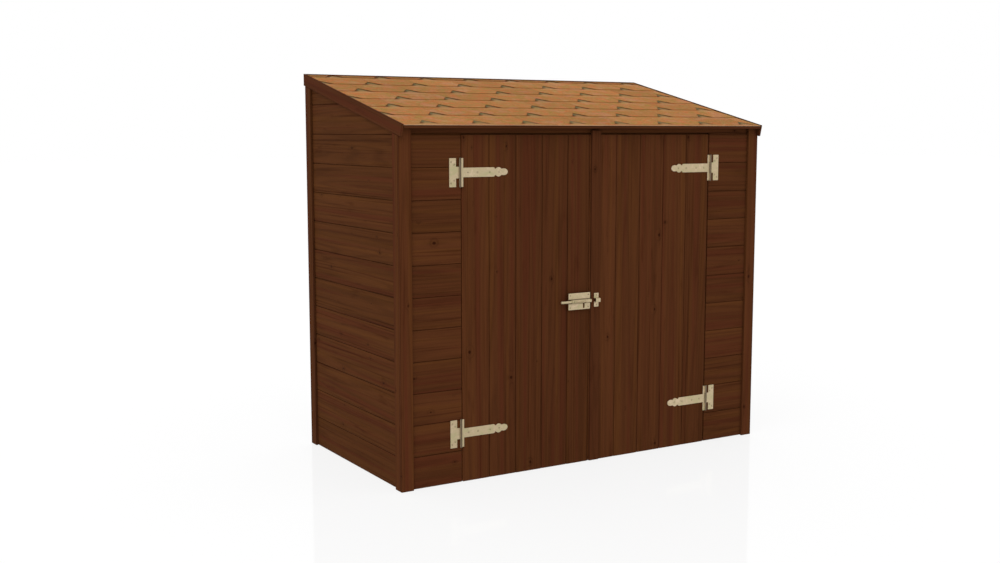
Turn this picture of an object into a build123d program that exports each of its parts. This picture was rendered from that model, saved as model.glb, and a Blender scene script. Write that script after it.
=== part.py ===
from build123d import *
import math
import os

# Bike store with a pent roof and a pair of doors, in millimetres. +Z is up and the front faces -Y.
# The origin is on the ground, under the middle of the whole store.

# Whole store
body_width = 2000           # outside of the corner trims
body_depth = 1003           # the same from front to back
eave_height = 1576.5        # top of the side bargeboards at the front edge
back_height = 1823          # the same at the back edge
front_overhang = 32         # roof edge in front of the corner trims
back_overhang = 16          # and behind them

# Cladding and trims
wall_board = 16             # thickness of the horizontal boards
board_cover = 139           # pitch of the boards, upright on the walls and level on the doors
groove_width = 6            # V joint between two boards
groove_depth = 4
board_floor_gap = 4         # boards end above the ground, trims and posts stand on it
trim_thickness = 11         # corner trims stand proud of the boards
trim_width = 60             # on both faces of a corner, the other trim's edge included

# Inner frame
post_size = 45
stud_width = 45
top_rail_height = 72
rafter_width = 45
rafter_depth = 45
middle_rafter_spacing = 620
bottom_rail_height = 45

# Roof
barge_height = 55           # as thick as the corner trims, and flush with them
barge_lip = 2               # bargeboards stand above the shingles
shingle_thickness = 5
shingle_step = 2.5          # height of each butt edge
starter_exposure = 27       # plain strip that shows at the eave
shingle_exposure = 166.5    # of each course above it
deck_thickness = 10
drip_edge = 2               # shingles in front of the front fascia
fascia_thickness = 16
back_fascia_thickness = 12

# Door opening and leaves
side_panel_width = 304      # from the outside of the corner to the opening
door_floor_gap = 3
door_gap = 6                # round each leaf
meeting_x = -15             # middle of the gap between the two leaves
door_board = 16
header_height = 32          # front face of the strip over the doors
header_gap = 7
header_recess = 6
ledge_width = 95
ledge_thickness = 20
ledge_inset = 22            # ledges stop short of the leaf's edges
brace_width = 80
batten_width = 52           # as thick as the corner trims
batten_clearance = 8        # under the front fascia

# T hinges
bottom_hinge_height = 222
top_hinge_inset = 161       # below the top of the leaf
hinge_plate = 2.5
pin_outset = 6              # pin beyond the opening's edge
pin_radius = 2.8
pin_lift = 0.5              # rolled eyes clear the boards
knuckle_radius = 4.8
running_clearance = 0.1     # radial, pin in the strap's eyes
knuckle_gap = 0.6           # along the pin
pin_head_radius = 4.2
pin_head_height = 1.6
pin_head_chamfer = 0.8
leaf_height = 124
leaf_width = 52
leaf_notch = 19             # leaf cut back beside the strap's eyes
leaf_eye_height = 50
strap_head_width = 11
strap_head_gap = 0.7        # between the leaf's eye and the strap's cross head
eye_root = 1                # how far the root of each eye runs onto the head
strap_width = 41
strap_body_length = 176     # all strap lengths from the pin
strap_bulb_centre = 194.5
strap_bulb_half = 18.5
strap_tip_centre = 222
strap_tip_half = 19.5
strap_tip_width = 30
strap_neck_width = 28
strap_corner = 8

# Barrel bolt
bolt_height = 768
bolt_plate_length = 120
bolt_plate_height = 77
bolt_plate_thickness = 2
plate_corner = 3
rod_radius = 6
rod_clearance = 0.5         # rod to plate and barrel
barrel_wall = 2
barrel_setback = 12         # plate and barrel cut away for the rod at the back end
rod_length = 165
rod_chamfer = 1.6
bolt_travel = 60
drawn_setback = 1           # rod tip inside the plate's end when drawn
stub_radius = 3
stub_reach = 13             # from the rod's centre line
stub_from_tip = 94
stub_clearance = 0.5
notch_width = 9
notch_depth = 33            # below the rod's centre line
keeper_x = 18
keeper_width = 25
keeper_height = 64
keeper_clearance = 1.5      # round the rod
keeper_bend = 1.5           # outer radius of the bends, in plate thicknesses

# Places worked out from the sizes above
eave_y = -(front_overhang + body_depth + back_overhang) / 2
front_y = eave_y + front_overhang
back_y = front_y + body_depth
roof_back_y = back_y + back_overhang
half_width = body_width / 2
slope = math.atan2(back_height - eave_height, roof_back_y - eave_y)
panel_y = front_y + trim_thickness
panel_back = panel_y + wall_board
wall_x = half_width - trim_thickness
wall_inner = wall_x - wall_board
back_wall_y = back_y - trim_thickness
back_inner = back_wall_y - wall_board
opening_x = half_width - side_panel_width
shingle_drop = barge_lip + shingle_thickness
deck_drop = shingle_drop + deck_thickness
rail_y = panel_back + door_gap
pin_x = opening_x + pin_outset
pin_y = panel_y - pin_lift - knuckle_radius
packer_y = panel_y - trim_thickness
rod_y = packer_y - bolt_plate_thickness - rod_clearance - rod_radius
left_leaf_edge = meeting_x - door_gap / 2
right_leaf_edge = meeting_x + door_gap / 2
door_edge = opening_x - door_gap

# Sketches on these planes have their x and y along X and Z, with depth to the front, or along Y and Z, to +X
front_view = Plane((0, 0, 0), x_dir=(1, 0, 0), z_dir=(0, -1, 0))
side_view = Plane((0, 0, 0), x_dir=(0, 1, 0), z_dir=(1, 0, 0))


def roof_z(y, drop):
    """Height at y of a plane that lies this far under the roof's top, square to the slope."""
    return eave_height + (y - eave_y) * math.tan(slope) - drop / math.cos(slope)


def on_roof(along, drop):
    """Point (y, z) this far up the slope from the eave and this far under the roof's top."""
    y = eave_y + along * math.cos(slope) + drop * math.sin(slope)
    z = eave_height + along * math.sin(slope) - drop * math.cos(slope)
    return (y, z)


# Heights and places that follow from the roof
header_floor = roof_z(panel_y + header_recess, deck_drop) - header_height
door_top = header_floor - header_gap
batten_top = roof_z(eave_y + drip_edge, deck_drop) - batten_clearance
hinge_heights = {"bottom": bottom_hinge_height, "top": door_top - top_hinge_inset}
ledge_heights = (hinge_heights["bottom"], bolt_height, hinge_heights["top"])
front_rail_floor = roof_z(rail_y, deck_drop) - top_rail_height
back_rail_y = back_inner - post_size
back_rail_floor = roof_z(back_rail_y, deck_drop) - top_rail_height


def block(x, y, z):
    """Box between the low and high values of x, y and z."""
    corner = Pos(min(x), min(y), min(z))
    sizes = (max(x) - min(x), max(y) - min(y), max(z) - min(z))
    return corner * Box(*sizes, align=(Align.MIN, Align.MIN, Align.MIN))


def prism(points, plane, start, end):
    """Closed outline on a plane, carried along the plane's normal from start to end."""
    face = plane.offset(start) * make_face(Polyline(*points, close=True))
    return extrude(face, amount=end - start, dir=plane.z_dir)


def under_roof(y, drop, floor):
    """Outline in Y and Z, level at the bottom and cut to the roof's slope at the top."""
    low, high = min(y), max(y)
    return [(low, floor), (high, floor), (high, roof_z(high, drop)), (low, roof_z(low, drop))]


def grooved(start, end, joints, face, back):
    """Outline of joined boards: a V groove in the face at each joint, a flat back."""
    inward = groove_depth if back > face else -groove_depth
    points = [(start, face)]
    for joint in joints:
        if start + groove_width < joint < end - groove_width:
            points.append((joint - groove_width / 2, face))
            points.append((joint, face + inward))
            points.append((joint + groove_width / 2, face))
    return points + [(end, face), (end, back), (start, back)]


def levels(top):
    """Heights of the joints between the horizontal boards, up to this height."""
    count = math.ceil((top - board_floor_gap) / board_cover)
    return [board_floor_gap + board_cover * k for k in range(1, count)]


def mirrored(solid, side):
    """The solid as drawn for the left, or its mirror image for the right."""
    return solid if side == "left" else mirror(solid, about=Plane.YZ)


def left_wall():
    """Side wall: grooved boards cut to the slope under the roof deck."""
    outline = grooved(board_floor_gap, back_height, levels(back_height), -wall_x, -wall_inner)
    turned = [(x, z) for z, x in outline]
    boards = prism(turned, front_view, -back_wall_y, -panel_y)
    above = [(panel_y, roof_z(panel_y, deck_drop)), (back_wall_y, roof_z(back_wall_y, deck_drop))]
    above += [(back_wall_y, back_height + 1), (panel_y, back_height + 1)]
    return boards - prism(above, side_view, -half_width, 0)


def back_wall():
    """Back wall between the side walls, its top bevelled to the slope."""
    top = roof_z(back_wall_y, deck_drop)
    outline = grooved(board_floor_gap, top, levels(top), back_wall_y, back_inner)
    turned = [(y, z) for z, y in outline]
    boards = prism(turned, side_view, -wall_inner, wall_inner)
    bevel = [(back_inner, roof_z(back_inner, deck_drop)), (back_wall_y, top), (back_inner, top)]
    return boards - prism(bevel, side_view, -half_width, half_width)


def front_left_panel():
    """Narrow fixed panel beside the doors."""
    outline = grooved(board_floor_gap, door_top, levels(door_top), panel_y, panel_back)
    turned = [(y, z) for z, y in outline]
    return prism(turned, side_view, -wall_inner, -opening_x)


def left_corner_trim(across, along):
    """Two trims at a corner: what covers the wall's edge ends under the bargeboard, the rest under the deck."""
    face = prism(under_roof(across, deck_drop, 0), side_view, -wall_x, -half_width + trim_width)
    side = prism(under_roof(along, barge_height, 0), side_view, -half_width, -wall_x)
    return face + side


def post(x, y, top):
    """Square post that stands on the ground, from its low corner."""
    return block((x, x + post_size), (y, y + post_size), (0, top))


def top_rail(y, floor):
    """Rail across the store that carries the deck, its top planed to the slope."""
    return prism(under_roof((y, y + post_size), deck_drop, floor), side_view, -wall_inner, wall_inner)


def rafters():
    """Rafters along both walls and two between them, butted between the top rails."""
    start = rail_y + post_size
    outline = [(start, roof_z(start, deck_drop)), (back_rail_y, roof_z(back_rail_y, deck_drop))]
    outline += [(y, z - rafter_depth / math.cos(slope)) for y, z in reversed(outline)]
    wall_centre = wall_inner - rafter_width / 2
    centres = (-wall_centre, -middle_rafter_spacing / 2, middle_rafter_spacing / 2, wall_centre)
    return [prism(outline, side_view, c - rafter_width / 2, c + rafter_width / 2) for c in centres]


def bottom_rails():
    """Rails on the ground between the posts: two sides, the back and a short one under each panel."""
    z = (0, bottom_rail_height)
    front_post_back = panel_back + post_size
    rails = []
    for side in (-1, 1):
        x = (side * wall_inner, side * (wall_inner - post_size))
        rails.append(block(x, (front_post_back, back_rail_y), z))
        x = (side * (wall_inner - post_size), side * (opening_x + post_size))
        rails.append(block(x, (panel_back, front_post_back), z))
        x = (side * (wall_inner - post_size), side * stud_width / 2)
        rails.append(block(x, (back_rail_y, back_inner), z))
    return rails


def back_posts():
    """The two back corner posts and the stud between them."""
    xs = (-wall_inner, -stud_width / 2, wall_inner - post_size)
    return [post(x, back_rail_y, back_rail_floor) for x in xs]


def header_board():
    """Strip over the doors and panels, set back from their faces, its top under the deck."""
    outline = under_roof((panel_y + header_recess, rail_y), deck_drop, header_floor)
    return prism(outline, side_view, -wall_inner, wall_inner)


def roof_deck():
    """Deck between the two fascias and the bargeboards."""
    start = eave_y + drip_edge + fascia_thickness
    end = roof_back_y - back_fascia_thickness
    outline = [(start, roof_z(start, deck_drop)), (end, roof_z(end, deck_drop)),
               (end, roof_z(end, shingle_drop)), (start, roof_z(start, shingle_drop))]
    return prism(outline, side_view, -wall_x, wall_x)


def roof_shingles():
    """Lapped courses over a starter strip: each one steps up at its butt edge and sinks to the next one's."""
    end_y = roof_back_y - back_fascia_thickness
    length = (end_y - eave_y) / math.cos(slope)
    points = [on_roof(0, shingle_drop), on_roof(0, barge_lip)]
    for k in range(math.ceil((length - starter_exposure) / shingle_exposure)):
        butt = starter_exposure + k * shingle_exposure
        points.append(on_roof(butt, barge_lip + shingle_step))
        points.append(on_roof(butt, barge_lip))
    points.append((end_y, roof_z(end_y, barge_lip + shingle_step)))
    points.append((end_y, roof_z(end_y, shingle_drop)))
    return prism(points, side_view, -wall_x, wall_x)


def bargeboard(side):
    """Side board: its front end is cut square to the slope, its back end upright."""
    outline = [on_roof(0, 0), on_roof(0, barge_height)]
    outline += [(roof_back_y, roof_z(roof_back_y, barge_height)), (roof_back_y, roof_z(roof_back_y, 0))]
    return mirrored(prism(outline, side_view, -half_width, -wall_x), side)


def front_fascia():
    """Thin strip that covers the deck's front edge, under the first course."""
    start = eave_y + drip_edge
    end = start + fascia_thickness
    low = roof_z(start, deck_drop)
    outline = [(start, low), (end, low), (end, roof_z(end, shingle_drop)), (start, roof_z(start, shingle_drop))]
    return prism(outline, side_view, -wall_x, wall_x)


def back_fascia():
    """Strip that covers the back edges of the deck and the shingles."""
    start = roof_back_y - back_fascia_thickness
    outline = [(start, roof_z(start, deck_drop)), (roof_back_y, roof_z(roof_back_y, deck_drop)),
               (roof_back_y, roof_z(roof_back_y, 0)), (start, roof_z(start, 0))]
    return prism(outline, side_view, -wall_x, wall_x)


def door_boards(low, high, hinge_edge):
    """Upright boards of one leaf, counted from the hinge's gap; the last board is ripped to fit."""
    count = round((high - low) / board_cover)
    inward = 1 if hinge_edge == low else -1
    first = hinge_edge - inward * door_gap / 2
    joints = sorted(first + inward * board_cover * k for k in range(1, count))
    outline = grooved(low, high, joints, panel_y, panel_y + door_board)
    return prism(outline, Plane.XY, door_floor_gap, door_top)


def door_ledges(low, high):
    """Three level ledges on the inside of a leaf."""
    x = (low + ledge_inset, high - ledge_inset)
    y = (panel_y + door_board, panel_y + door_board + ledge_thickness)
    return [block(x, y, (z - ledge_width / 2, z + ledge_width / 2)) for z in ledge_heights]


def door_braces(low, high, hinge_edge):
    """Slanting braces between the ledges; each one rises away from the hinges."""
    foot = low + ledge_inset if hinge_edge == low else high - ledge_inset
    head = high - ledge_inset if hinge_edge == low else low + ledge_inset
    lean = math.copysign(1, head - foot)
    y = panel_y + door_board
    braces = []
    for lower, upper in zip(ledge_heights, ledge_heights[1:]):
        floor = lower + ledge_width / 2
        top = upper - ledge_width / 2
        angle = math.atan2(top - floor, abs(head - foot) - brace_width)
        across = brace_width / math.sin(angle)
        points = [(foot, floor), (foot + lean * across, floor), (head, top), (head - lean * across, top)]
        braces.append(prism(points, front_view, -y - ledge_thickness, -y))
    return braces


def hinge_leaf(side, height):
    """Leaf on the fixed panel, with its rolled eye, and the pin that the strap turns on."""
    half = leaf_height / 2
    eye = leaf_eye_height / 2
    points = [(-leaf_width, -half), (-leaf_notch, -half), (-leaf_notch, -eye), (0, -eye),
              (0, eye), (-leaf_notch, eye), (-leaf_notch, half), (-leaf_width, half)]
    plate = prism(points, front_view, 0, hinge_plate)
    axis = Pos(0, -pin_lift - knuckle_radius, 0)
    eye_roll = axis * Cylinder(knuckle_radius, leaf_eye_height)
    web = block((-knuckle_radius, 0), (-pin_lift - knuckle_radius, 0), (-eye, eye))
    pin = axis * Cylinder(pin_radius, leaf_height + 2 * knuckle_gap)
    leaf = plate + eye_roll + (web & (axis * Box(2 * knuckle_radius, 2 * knuckle_radius, leaf_height))) + pin
    for end in (-1, 1):
        centre = end * (half + knuckle_gap + pin_head_height / 2)
        head = Cylinder(pin_head_radius, pin_head_height)
        rim = head.edges().group_by(Axis.Z)[-1 if end > 0 else 0]
        leaf += axis * Pos(0, 0, centre) * chamfer(rim, pin_head_chamfer)
    return mirrored(Pos(-pin_x, panel_y, height) * leaf, side)


def hinge_strap(side, height):
    """Strap on the door leaf: two rolled eyes, a cross head, and a long arm with a bulb and a round tip."""
    half = leaf_height / 2
    arm_start = knuckle_radius + strap_head_gap
    head = Pos(arm_start + strap_head_width / 2, 0) * Rectangle(strap_head_width, leaf_height)
    body_length = strap_body_length - arm_start
    body = Pos(arm_start + body_length / 2, 0) * RectangleRounded(body_length, strap_width, strap_corner)
    neck_length = strap_tip_centre - strap_body_length / 2
    neck = Pos(strap_tip_centre - neck_length / 2, 0) * Rectangle(neck_length, strap_neck_width)
    bulb = Pos(strap_bulb_centre, 0) * Ellipse(strap_bulb_half, strap_width / 2)
    tip = Pos(strap_tip_centre, 0) * Ellipse(strap_tip_half, strap_tip_width / 2)
    plate = extrude(front_view * (head + body + neck + bulb + tip), amount=hinge_plate, dir=(0, -1, 0))
    axis = Pos(0, -pin_lift - knuckle_radius, 0)
    eye_height = (leaf_height - leaf_eye_height) / 2 - knuckle_gap
    strap = plate
    for end in (-1, 1):
        centre = end * (half - eye_height / 2)
        roll = axis * Pos(0, 0, centre) * Cylinder(knuckle_radius, eye_height)
        z = (centre - eye_height / 2, centre + eye_height / 2)
        web = block((0, arm_start + eye_root), (-pin_lift - knuckle_radius, -pin_lift), z)
        strap += roll + web
    bore = axis * Cylinder(pin_radius + running_clearance, 2 * leaf_height)
    return mirrored(Pos(-pin_x, panel_y, height) * (strap - bore), side)


plate_end = left_leaf_edge
plate_start = plate_end - bolt_plate_length
drawn_tip = plate_end - drawn_setback
drawn_stub = drawn_tip - stub_from_tip
shot_stub = drawn_stub + bolt_travel


def bolt_packer():
    """Wooden packer that brings the bolt in front of the centre batten."""
    z = (bolt_height - bolt_plate_height / 2, bolt_height + bolt_plate_height / 2)
    return block((plate_start, plate_end), (packer_y, panel_y), z)


def bolt_plate():
    """Pressed plate with a half-round barrel along it, a slot for the stub and a locking notch."""
    middle = (plate_start + plate_end) / 2
    sheet = RectangleRounded(bolt_plate_length, bolt_plate_height, plate_corner)
    face = Plane((middle, packer_y, bolt_height), x_dir=(1, 0, 0), z_dir=(0, -1, 0))
    plate = extrude(face * sheet, amount=bolt_plate_thickness)
    inner = rod_radius + rod_clearance
    outer = inner + barrel_wall
    foot = -(packer_y - rod_y)
    barrel = Circle(outer) + Pos(-foot / 2, 0) * Rectangle(-foot, 2 * outer)
    hollow = Circle(inner) + Pos(-foot / 2, 0) * Rectangle(-foot, 2 * inner)
    section = Plane((plate_start, rod_y, bolt_height), x_dir=(0, 1, 0), z_dir=(1, 0, 0))
    plate += extrude(section * barrel, amount=bolt_plate_length)
    tunnel = extrude(section * hollow, amount=bolt_plate_length)
    plate -= tunnel & block((plate_start, plate_end), (rod_y - outer, packer_y - bolt_plate_thickness),
                            (bolt_height - outer, bolt_height + outer))
    half_slot = stub_radius + stub_clearance
    slot = block((drawn_stub - half_slot, shot_stub + half_slot), (rod_y - 2 * outer, rod_y),
                 (bolt_height - half_slot, bolt_height + half_slot))
    notch = block((shot_stub - notch_width / 2, shot_stub + notch_width / 2), (rod_y - 2 * outer, packer_y),
                  (bolt_height - notch_depth, bolt_height))
    entry = block((plate_start, plate_start + barrel_setback), (rod_y - 2 * outer, packer_y),
                  (bolt_height - outer, bolt_height + outer))
    return plate - slot - notch - entry


def bolt_rod():
    """Round rod with a stub that runs in the slot, drawn back."""
    rod = Cylinder(rod_radius, rod_length, rotation=(0, 90, 0))
    rod = chamfer(rod.edges().filter_by(GeomType.CIRCLE), rod_chamfer)
    rod = Pos(drawn_tip - rod_length / 2, rod_y, bolt_height) * rod
    stub = Cylinder(stub_radius, stub_reach, rotation=(90, 0, 0))
    return rod + Pos(drawn_stub, rod_y - stub_reach / 2, bolt_height) * stub


def bolt_keeper():
    """Strap bent into a square loop that takes the rod, on the centre batten."""
    inner = rod_radius + keeper_clearance
    outer = inner + bolt_plate_thickness
    half = keeper_height / 2
    front = rod_y - inner
    points = [(packer_y, half), (packer_y, inner), (front, inner), (front, -inner), (packer_y, -inner),
              (packer_y, -half), (packer_y - bolt_plate_thickness, -half),
              (packer_y - bolt_plate_thickness, -outer), (front - bolt_plate_thickness, -outer),
              (front - bolt_plate_thickness, outer), (packer_y - bolt_plate_thickness, outer),
              (packer_y - bolt_plate_thickness, half)]
    strap = prism(points, side_view, keeper_x - keeper_width / 2, keeper_x + keeper_width / 2)
    crosswise = strap.edges().filter_by(Axis.X)
    outside = [e for e in crosswise if e.center().Y < front - bolt_plate_thickness / 2]
    strap = fillet(outside, keeper_bend * bolt_plate_thickness)
    return Pos(0, 0, bolt_height) * strap


def centre_batten():
    """Cover batten on the right leaf, over the meeting edge."""
    x = (right_leaf_edge, right_leaf_edge + batten_width)
    return block(x, (packer_y, panel_y), (door_floor_gap, batten_top))


parts = {
    "back_wall": back_wall(),
    "front_top_rail": top_rail(rail_y, front_rail_floor),
    "back_top_rail": top_rail(back_rail_y, back_rail_floor),
    "back_posts": back_posts(),
    "bottom_rails": bottom_rails(),
    "rafters": rafters(),
    "header_board": header_board(),
    "roof_deck": roof_deck(),
    "roof_shingles": roof_shingles(),
    "front_fascia": front_fascia(),
    "back_fascia": back_fascia(),
    "left_door_boards": door_boards(-door_edge, left_leaf_edge, -door_edge),
    "left_door_ledges": door_ledges(-door_edge, left_leaf_edge),
    "left_door_braces": door_braces(-door_edge, left_leaf_edge, -door_edge),
    "right_door_boards": door_boards(right_leaf_edge, door_edge, door_edge),
    "right_door_ledges": door_ledges(right_leaf_edge, door_edge),
    "right_door_braces": door_braces(right_leaf_edge, door_edge, door_edge),
    "centre_batten": centre_batten(),
    "bolt_packer": bolt_packer(),
    "bolt_plate": bolt_plate(),
    "bolt_rod": bolt_rod(),
    "bolt_keeper": bolt_keeper(),
}
for side in ("left", "right"):
    parts[side + "_wall"] = mirrored(left_wall(), side)
    parts["front_" + side + "_panel"] = mirrored(front_left_panel(), side)
    front_trim = left_corner_trim((front_y, panel_y), (front_y, front_y + trim_width))
    parts["front_" + side + "_corner_trim"] = mirrored(front_trim, side)
    back_trim = left_corner_trim((back_wall_y, back_y), (back_y - trim_width, back_y))
    parts["back_" + side + "_corner_trim"] = mirrored(back_trim, side)
    parts["front_" + side + "_post"] = mirrored(post(-wall_inner, panel_back, front_rail_floor), side)
    parts[side + "_door_post"] = mirrored(post(-opening_x - post_size, panel_back, front_rail_floor), side)
    parts[side + "_bargeboard"] = bargeboard(side)
    for level, height in hinge_heights.items():
        parts[side + "_" + level + "_hinge_leaf"] = hinge_leaf(side, height)
        parts[side + "_" + level + "_hinge_strap"] = hinge_strap(side, height)

os.makedirs("parts", exist_ok=True)
for name, shape in parts.items():
    solids = shape if isinstance(shape, list) else shape.solids()
    export_step(solids[0] if len(solids) == 1 else Compound(children=list(solids)), "parts/" + name + ".step")
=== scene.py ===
import math
import bmesh
import bpy
import numpy as np
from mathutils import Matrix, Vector


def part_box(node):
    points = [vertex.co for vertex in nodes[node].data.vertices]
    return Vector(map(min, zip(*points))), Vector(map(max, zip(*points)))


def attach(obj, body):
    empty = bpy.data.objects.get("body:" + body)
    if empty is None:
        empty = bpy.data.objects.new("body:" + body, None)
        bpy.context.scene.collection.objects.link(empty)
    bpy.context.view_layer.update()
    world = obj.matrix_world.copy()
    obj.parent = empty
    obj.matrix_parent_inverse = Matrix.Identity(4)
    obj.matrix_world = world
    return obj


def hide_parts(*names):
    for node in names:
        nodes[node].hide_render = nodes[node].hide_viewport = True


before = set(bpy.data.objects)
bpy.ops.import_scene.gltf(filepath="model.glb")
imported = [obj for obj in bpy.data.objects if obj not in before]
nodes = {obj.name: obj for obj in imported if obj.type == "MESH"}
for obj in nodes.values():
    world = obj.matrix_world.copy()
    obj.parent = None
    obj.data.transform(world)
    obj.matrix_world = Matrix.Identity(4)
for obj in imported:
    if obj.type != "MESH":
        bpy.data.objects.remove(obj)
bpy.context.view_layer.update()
print("frame loaded:", len(nodes), "nodes")

draw = np.random.default_rng(41)   # one order of random draws, so each run is the same
mm = 0.001
scene = bpy.context.scene


# Colours are written as levels of 0 to 255 and turned into the linear values that sockets take
def linear(red, green, blue):
    level = np.array([red, green, blue]) / 255
    bright = ((level + 0.055) / 1.055) ** 2.4
    return (*np.where(level <= 0.04045, level / 12.92, bright).tolist(), 1.0)


# What is left of a colour where a mark keeps only shares of its red, green and blue
def kept(base, shares):
    return (*np.multiply(linear(*base)[:3], shares).tolist(), 1.0)


# A socket that takes part in sums: every operator adds a Math node
class Wire:
    def __init__(self, tree, socket):
        self.tree = tree
        self.socket = socket

    def math(self, operation, *values):
        made = self.tree.nodes.new("ShaderNodeMath")
        made.operation = operation
        for place, value in zip(made.inputs, values):
            if isinstance(value, Wire):
                self.tree.links.new(value.socket, place)
            else:
                place.default_value = value
        return Wire(self.tree, made.outputs[0])

    def __add__(self, other):
        return self.math("ADD", self, other)

    def __radd__(self, other):
        return self.math("ADD", other, self)

    def __sub__(self, other):
        return self.math("SUBTRACT", self, other)

    def __rsub__(self, other):
        return self.math("SUBTRACT", other, self)

    def __mul__(self, other):
        return self.math("MULTIPLY", self, other)

    def __rmul__(self, other):
        return self.math("MULTIPLY", other, self)

    def __truediv__(self, other):
        return self.math("DIVIDE", self, other)

    def __abs__(self):
        return self.math("ABSOLUTE", self)


# A material with its shader, one method that adds any other node, and short names for the usual ones
class Finish:
    def __init__(self, name, **values):
        self.material = bpy.data.materials.new(name)
        self.material.use_nodes = True
        self.tree = self.material.node_tree
        self.shader = self.tree.nodes["Principled BSDF"]
        for socket, value in values.items():
            self.shader.inputs[socket.replace("_", " ")].default_value = value

    def node(self, kind, settings=None, values=None, output=0):
        made = self.tree.nodes.new("ShaderNode" + kind)
        for key, value in (settings or {}).items():
            setattr(made, key, value)
        for key, value in (values or {}).items():
            if isinstance(value, Wire):
                self.tree.links.new(value.socket, made.inputs[key])
            else:
                made.inputs[key].default_value = value
        return Wire(self.tree, made.outputs[output])

    def place(self):
        return self.node("TexCoord", None, None, "Object")

    def attribute(self, name, output="Fac"):
        return self.node("Attribute", {"attribute_name": name}, None, output)

    def part(self, vector, axis):
        return self.node("SeparateXYZ", None, {0: vector}, axis)

    def channel(self, colour, index):
        return self.node("SeparateColor", None, {0: colour}, index)

    def vector(self, operation, *values, output=0):
        return self.node("VectorMath", {"operation": operation}, dict(enumerate(values)), output)

    def scaled(self, vector, x, y, z):
        return self.vector("MULTIPLY", vector, (x, y, z))

    def noise(self, vector, detail=2.0, roughness=0.5, distortion=0.0):
        return self.node("TexNoise", None, {"Vector": vector, "Scale": 1.0, "Detail": detail,
                                            "Roughness": roughness, "Distortion": distortion})

    def cells(self, vector, output, scale=1.0, dimensions="3D"):
        return self.node("TexVoronoi", {"voronoi_dimensions": dimensions}, {"Vector": vector, "Scale": scale},
                         output)

    def between(self, value, low, high, start=0.0, end=1.0):
        return self.node("MapRange", {"interpolation_type": "SMOOTHSTEP"},
                         {"Value": value, "From Min": low, "From Max": high, "To Min": start, "To Max": end})

    def mix(self, factor, first, second):
        return self.node("Mix", {"data_type": "RGBA", "blend_type": "MIX", "clamp_factor": True},
                         {0: factor, 6: first, 7: second}, 2)

    # mixes a share of ink into a colour where a mask goes from low to high
    def tint(self, colour, mask, low, high, share, ink):
        return self.mix(self.between(mask, low, high) * share, colour, ink)

    # colour times a level that is 1 where nothing changes
    def shade(self, colour, level):
        grey = self.node("CombineXYZ", None, {0: level, 1: level, 2: level})
        return self.vector("MULTIPLY", colour, grey)

    def finish(self, colour, roughness, height, depth):
        self.tree.links.new(colour.socket, self.shader.inputs["Base Color"])
        self.tree.links.new(roughness.socket, self.shader.inputs["Roughness"])
        bump = self.node("Bump", None, {"Strength": 1.0, "Distance": depth, "Height": height})
        self.tree.links.new(bump.socket, self.shader.inputs["Normal"])
        return self.material


stain = {
    "wall": (80, 45, 24),          # levels of the brown stain
    "side": (81, 47, 24),
    "trim": (83, 46, 25),
    "edging": (76, 42, 23),
    "inside": (92, 54, 31),
    "red": (78, 36, 22),           # where the heartwood shows
    "yellow": (90, 54, 24),        # where the stain is thin
    "joint": (44, 22, 12),
    "streak": (0.52, 0.42, 0.36),  # what a dark streak keeps of red, green and blue
    "knot": (0.30, 0.22, 0.18),
    "paintedGapLight": 1.1,               # painted light: how much lighter the sawn edges of the leaves are, to lift the shade in the gaps beside them
    "knotsEach": 0.34,             # metres between rows of knots along a board
    "knotAcross": 0.125,           # metres between places across a board
    "knotShare": 0.55,             # share of the places that have one
    "knotLeast": 2.8 * mm,         # radius of the smallest one
    "knotMore": 5.0 * mm,          # and how much larger the largest one is
    "wobble": 3.5 * mm,            # of its outline
    "relief": 0.9 * mm,
}
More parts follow.
